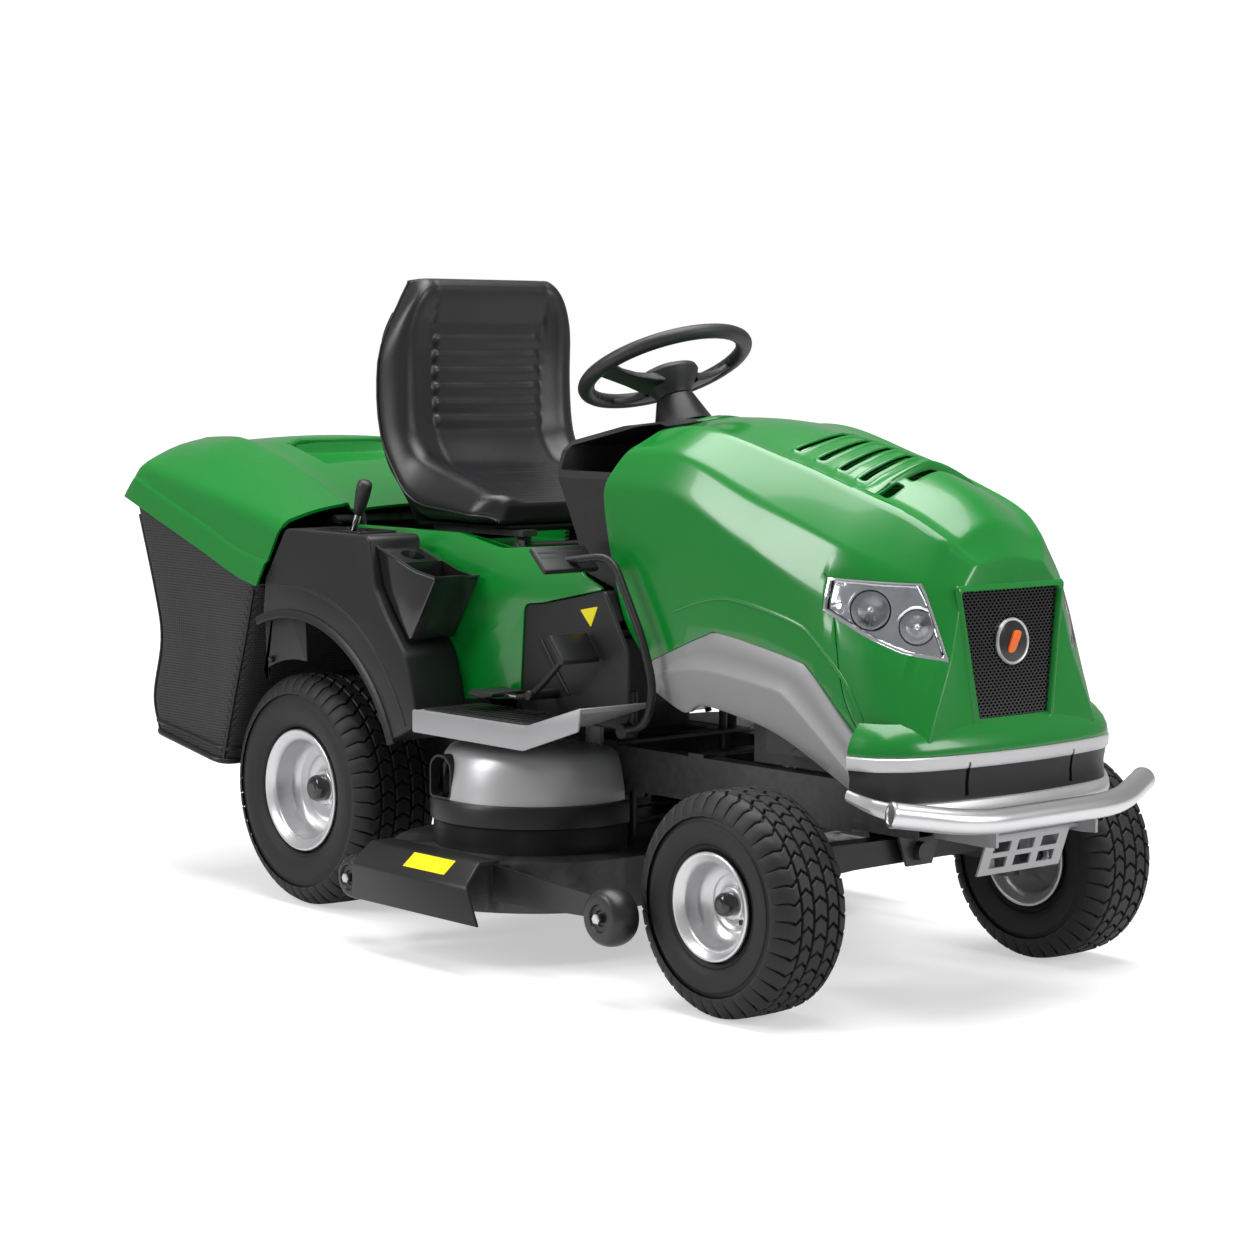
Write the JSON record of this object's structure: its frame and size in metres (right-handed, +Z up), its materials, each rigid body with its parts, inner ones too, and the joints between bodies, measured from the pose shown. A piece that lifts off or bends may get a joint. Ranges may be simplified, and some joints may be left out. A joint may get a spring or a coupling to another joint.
{
  "type": "riding lawn mower",
  "caption": "Riding lawn mower with a mid-mounted cutting deck, tilting hood, bucket seat and a rear grass collector that tips up.",
  "frame": {"origin": "bottom centre of the whole mower, on the ground", "axes": "+Z up, +Y to the rear, +X to the driver's left; the mower drives towards -Y"},
  "size_m": [1.12, 2.206, 1.2239],
  "materials": {
    "body_green": "gloss paint green",
    "black_trim": "satin black",
    "gloss_black": "gloss black",
    "grey_trim": "satin grey",
    "fascia_silver": "silver and black bands",
    "bumper_metal": "brushed",
    "bracket_grey": "satin grey",
    "frame_black": "satin black",
    "steel": "satin",
    "rim_silver": "satin silver",
    "tyre": "matt",
    "wheel_plastic": "satin",
    "vinyl": "satin black",
    "lens": "clear",
    "chrome": "mirror",
    "mesh_fabric": "woven mesh",
    "engine_metal": "cast",
    "exhaust": "heat marked",
    "rubber": "matt",
    "deck_silver": "silver over black bands"
  },
  "bodies": {
    "chassis": {"frame_rails": "frame_black", "frame_crossmembers": "frame_black", "axle_pivot": "frame_black", "rear_transaxle": "engine_metal", "engine_block": "engine_metal", "engine_fan_housing": "black_trim", "muffler": "exhaust", "fuel_tank": "black_trim", "battery": "black_trim", "bumper_tube": "bumper_metal", "bumper_bracket": "bracket_grey", "dash_tower": "black_trim", "tunnel_cover": "black_trim", "seat_body": "body_green", "fender_trims": "black_trim", "storage_trays": "gloss_black", "footboards": "bracket_grey", "seat_mounts": "steel", "discharge_chute": "black_trim"},
    "front_axle": {"front_axle_beam": "frame_black"},
    "knuckle_right": {"knuckle_right": "frame_black"},
    "knuckle_left": {"knuckle_left": "frame_black"},
    "tie_rod": {"tie_rod": "steel"},
    "front_wheel_right": {"front_tyre_right": "tyre", "front_rim_right": "rim_silver"},
    "front_wheel_left": {"front_tyre_left": "tyre", "front_rim_left": "rim_silver"},
    "rear_wheel_right": {"rear_tyre_right": "tyre", "rear_rim_right": "rim_silver", "rear_axle_shaft_right": "steel"},
    "rear_wheel_left": {"rear_tyre_left": "tyre", "rear_rim_left": "rim_silver", "rear_axle_shaft_left": "steel"},
    "steering": {"steering_shaft": "steel", "steering_wheel": "wheel_plastic"},
    "hood": {"hood_shell": "body_green", "grille": "black_trim", "headlamp_lenses": "lens", "headlamp_reflectors": "chrome", "arch_trims": "grey_trim", "front_fascia": "fascia_silver"},
    "seat_frame": {"seat_bracket": "frame_black"},
    "seat": {"seat_pan": "black_trim", "seat_cushion": "vinyl"},
    "collector": {"collector_lid": "body_green", "collector_bag": "mesh_fabric", "collector_frame": "frame_black"},
    "deck": {"deck_shell": "frame_black", "deck_covers": "deck_silver", "side_deflectors": "black_trim", "blade_belt": "rubber"},
    "blade_right": {"blade_right": "steel"},
    "blade_left": {"blade_left": "steel"},
    "brake_pedal": {"brake_pedal": "frame_black"},
    "drive_pedal": {"drive_pedal": "frame_black"},
    "height_lever": {"height_lever": "steel"},
    "gauge_wheel_front_right": {"gauge_wheel_front_right": "rubber"},
    "gauge_wheel_front_left": {"gauge_wheel_front_left": "rubber"},
    "gauge_wheel_rear_right": {"gauge_wheel_rear_right": "rubber"},
    "gauge_wheel_rear_left": {"gauge_wheel_rear_left": "rubber"}
  },
  "joints": [
    {"name": "axle_rock", "type": "hinge", "parent": "chassis", "child": "front_axle", "pos_m": [0, -0.754, 0.235], "axis": [0, 1, 0], "range_deg": [-5, 5]},
    {"name": "steer_right", "type": "hinge", "parent": "front_axle", "child": "knuckle_right", "pos_m": [-0.265, -0.754, 0.235], "axis": [0, 0, 1], "range_deg": [-27, 27]},
    {"name": "steer_left", "type": "hinge", "parent": "front_axle", "child": "knuckle_left", "pos_m": [0.265, -0.754, 0.235], "axis": [0, 0, 1], "range_deg": [-27, 27]},
    {"name": "tie_rod_slide", "type": "slide", "parent": "front_axle", "child": "tie_rod", "axis": [1, 0, 0], "range_m": [-0.056, 0.056]},
    {"name": "steering_turn", "type": "hinge", "parent": "chassis", "child": "steering", "pos_m": [0, -0.132, 1.055], "axis": [0, 0.4289, 0.9033], "range_deg": [-190, 190]},
    {"name": "front_spin_right", "type": "hinge", "parent": "knuckle_right", "child": "front_wheel_right", "pos_m": [-0.3795, -0.754, 0.187], "axis": [1, 0, 0], "continuous": true},
    {"name": "front_spin_left", "type": "hinge", "parent": "knuckle_left", "child": "front_wheel_left", "pos_m": [0.3795, -0.754, 0.187], "axis": [1, 0, 0], "continuous": true},
    {"name": "rear_spin_right", "type": "hinge", "parent": "chassis", "child": "rear_wheel_right", "pos_m": [-0.3005, 0.506, 0.228], "axis": [1, 0, 0], "continuous": true},
    {"name": "rear_spin_left", "type": "hinge", "parent": "chassis", "child": "rear_wheel_left", "pos_m": [0.3005, 0.506, 0.228], "axis": [1, 0, 0], "continuous": true},
    {"name": "hood_tilt", "type": "hinge", "parent": "chassis", "child": "hood", "pos_m": [0, -0.992, 0.372], "axis": [1, 0, 0], "range_deg": [0, 65]},
    {"name": "seat_tilt", "type": "hinge", "parent": "chassis", "child": "seat_frame", "pos_m": [0, 0.095, 0.716], "axis": [1, 0, 0], "range_deg": [0, 45]},
    {"name": "seat_slide", "type": "slide", "parent": "seat_frame", "child": "seat", "axis": [0, 1, 0], "range_m": [-0.04, 0.04]},
    {"name": "collector_tip", "type": "hinge", "parent": "chassis", "child": "collector", "pos_m": [0, 0.558, 0.752], "axis": [1, 0, 0], "range_deg": [0, 60]},
    {"name": "deck_lift", "type": "slide", "parent": "chassis", "child": "deck", "axis": [0, 0, 1], "range_m": [-0.075, 0]},
    {"name": "lever_swing", "type": "hinge", "parent": "chassis", "child": "height_lever", "pos_m": [0, 0.462, 0.64], "axis": [1, 0, 0], "range_deg": [0, 14.5]},
    {"name": "brake_press", "type": "hinge", "parent": "chassis", "child": "brake_pedal", "pos_m": [0, -0.356, 0.422], "axis": [1, 0, 0], "range_deg": [0, 18], "stiffness_Nm_per_rad": 20},
    {"name": "drive_rock", "type": "hinge", "parent": "chassis", "child": "drive_pedal", "pos_m": [0, -0.154, 0.47], "axis": [1, 0, 0], "range_deg": [-9, 9], "stiffness_Nm_per_rad": 20},
    {"name": "gauge_spin_front_right", "type": "hinge", "parent": "deck", "child": "gauge_wheel_front_right", "pos_m": [-0.5, -0.568, 0.15], "axis": [1, 0, 0], "continuous": true},
    {"name": "gauge_spin_front_left", "type": "hinge", "parent": "deck", "child": "gauge_wheel_front_left", "pos_m": [0.5, -0.568, 0.15], "axis": [1, 0, 0], "continuous": true},
    {"name": "gauge_spin_rear_right", "type": "hinge", "parent": "deck", "child": "gauge_wheel_rear_right", "pos_m": [-0.5, 0.144, 0.121], "axis": [1, 0, 0], "continuous": true},
    {"name": "gauge_spin_rear_left", "type": "hinge", "parent": "deck", "child": "gauge_wheel_rear_left", "pos_m": [0.5, 0.144, 0.121], "axis": [1, 0, 0], "continuous": true},
    {"name": "blade_spin_right", "type": "hinge", "parent": "deck", "child": "blade_right", "pos_m": [-0.25, -0.064, 0.2], "axis": [0, 0, 1], "continuous": true},
    {"name": "blade_spin_left", "type": "hinge", "parent": "deck", "child": "blade_left", "pos_m": [0.25, -0.064, 0.2], "axis": [0, 0, 1], "continuous": true}
  ],
  "couplings": [
    {"joint": "steer_left", "follows": "steer_right", "ratio": 1},
    {"joint": "tie_rod_slide", "follows": "steer_right", "m_per_rad": -0.1156},
    {"joint": "steering_turn", "follows": "steer_right", "ratio": 7},
    {"joint": "lever_swing", "follows": "deck_lift", "rad_per_m": -3.2579},
    {"joint": "blade_spin_left", "follows": "blade_spin_right", "ratio": 1}
  ]
}
